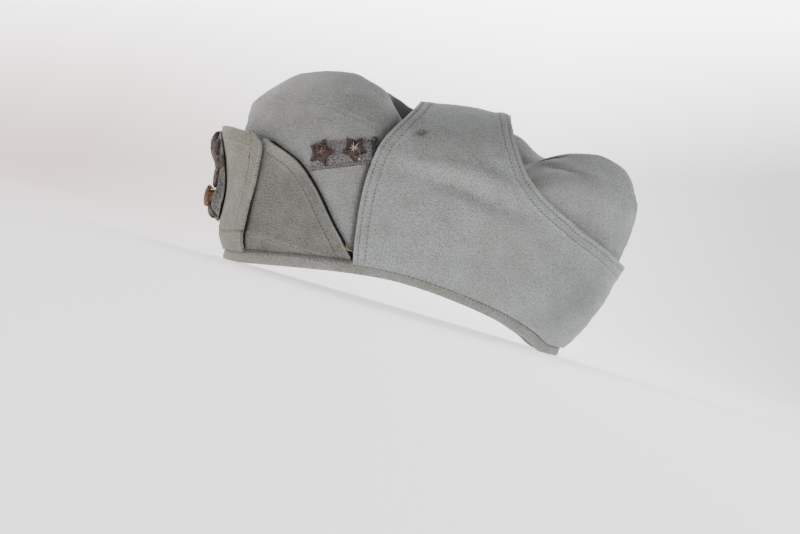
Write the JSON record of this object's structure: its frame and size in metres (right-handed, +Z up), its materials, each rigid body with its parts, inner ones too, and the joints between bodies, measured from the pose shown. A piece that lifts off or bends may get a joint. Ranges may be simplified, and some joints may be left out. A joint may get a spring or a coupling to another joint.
{
  "type": "soft military field cap with folded-up peak and neck flap",
  "caption": "Soft cloth field cap with a creased crown, a folded-up front peak, and a neck flap folded up round the back with its ends meeting over the top.",
  "frame": {"origin": "centre of the bounding box in X and Y, at the surface that the rim rests on", "axes": "+Z up, -Y towards the front of the cap (the insignia), +X towards the wearer's left (the rank strip)"},
  "size_m": [0.1654, 0.2537, 0.1262],
  "materials": {
    "cloth": "grey-green cotton twill, matt",
    "strip_cloth": "grey-violet wool cloth, matt",
    "dark_thread": "tarnished dark red-brown embroidery",
    "metal_thread": "tarnished coiled metal thread"
  },
  "bodies": {
    "root": {"crown_side_left": "cloth", "crown_side_right": "cloth", "crown_top": "cloth", "hem_band": "cloth", "neck_flap_left": "cloth", "neck_flap_right": "cloth", "front_flap": "cloth", "peak": "cloth", "badge_backing": "cloth", "rank_strip": "strip_cloth", "rank_star_front": "dark_thread", "rank_star_rear": "dark_thread", "badge_spray": "dark_thread", "badge_collar": "dark_thread", "badge_base": "dark_thread", "badge_boss": "metal_thread"}
  },
  "joints": []
}
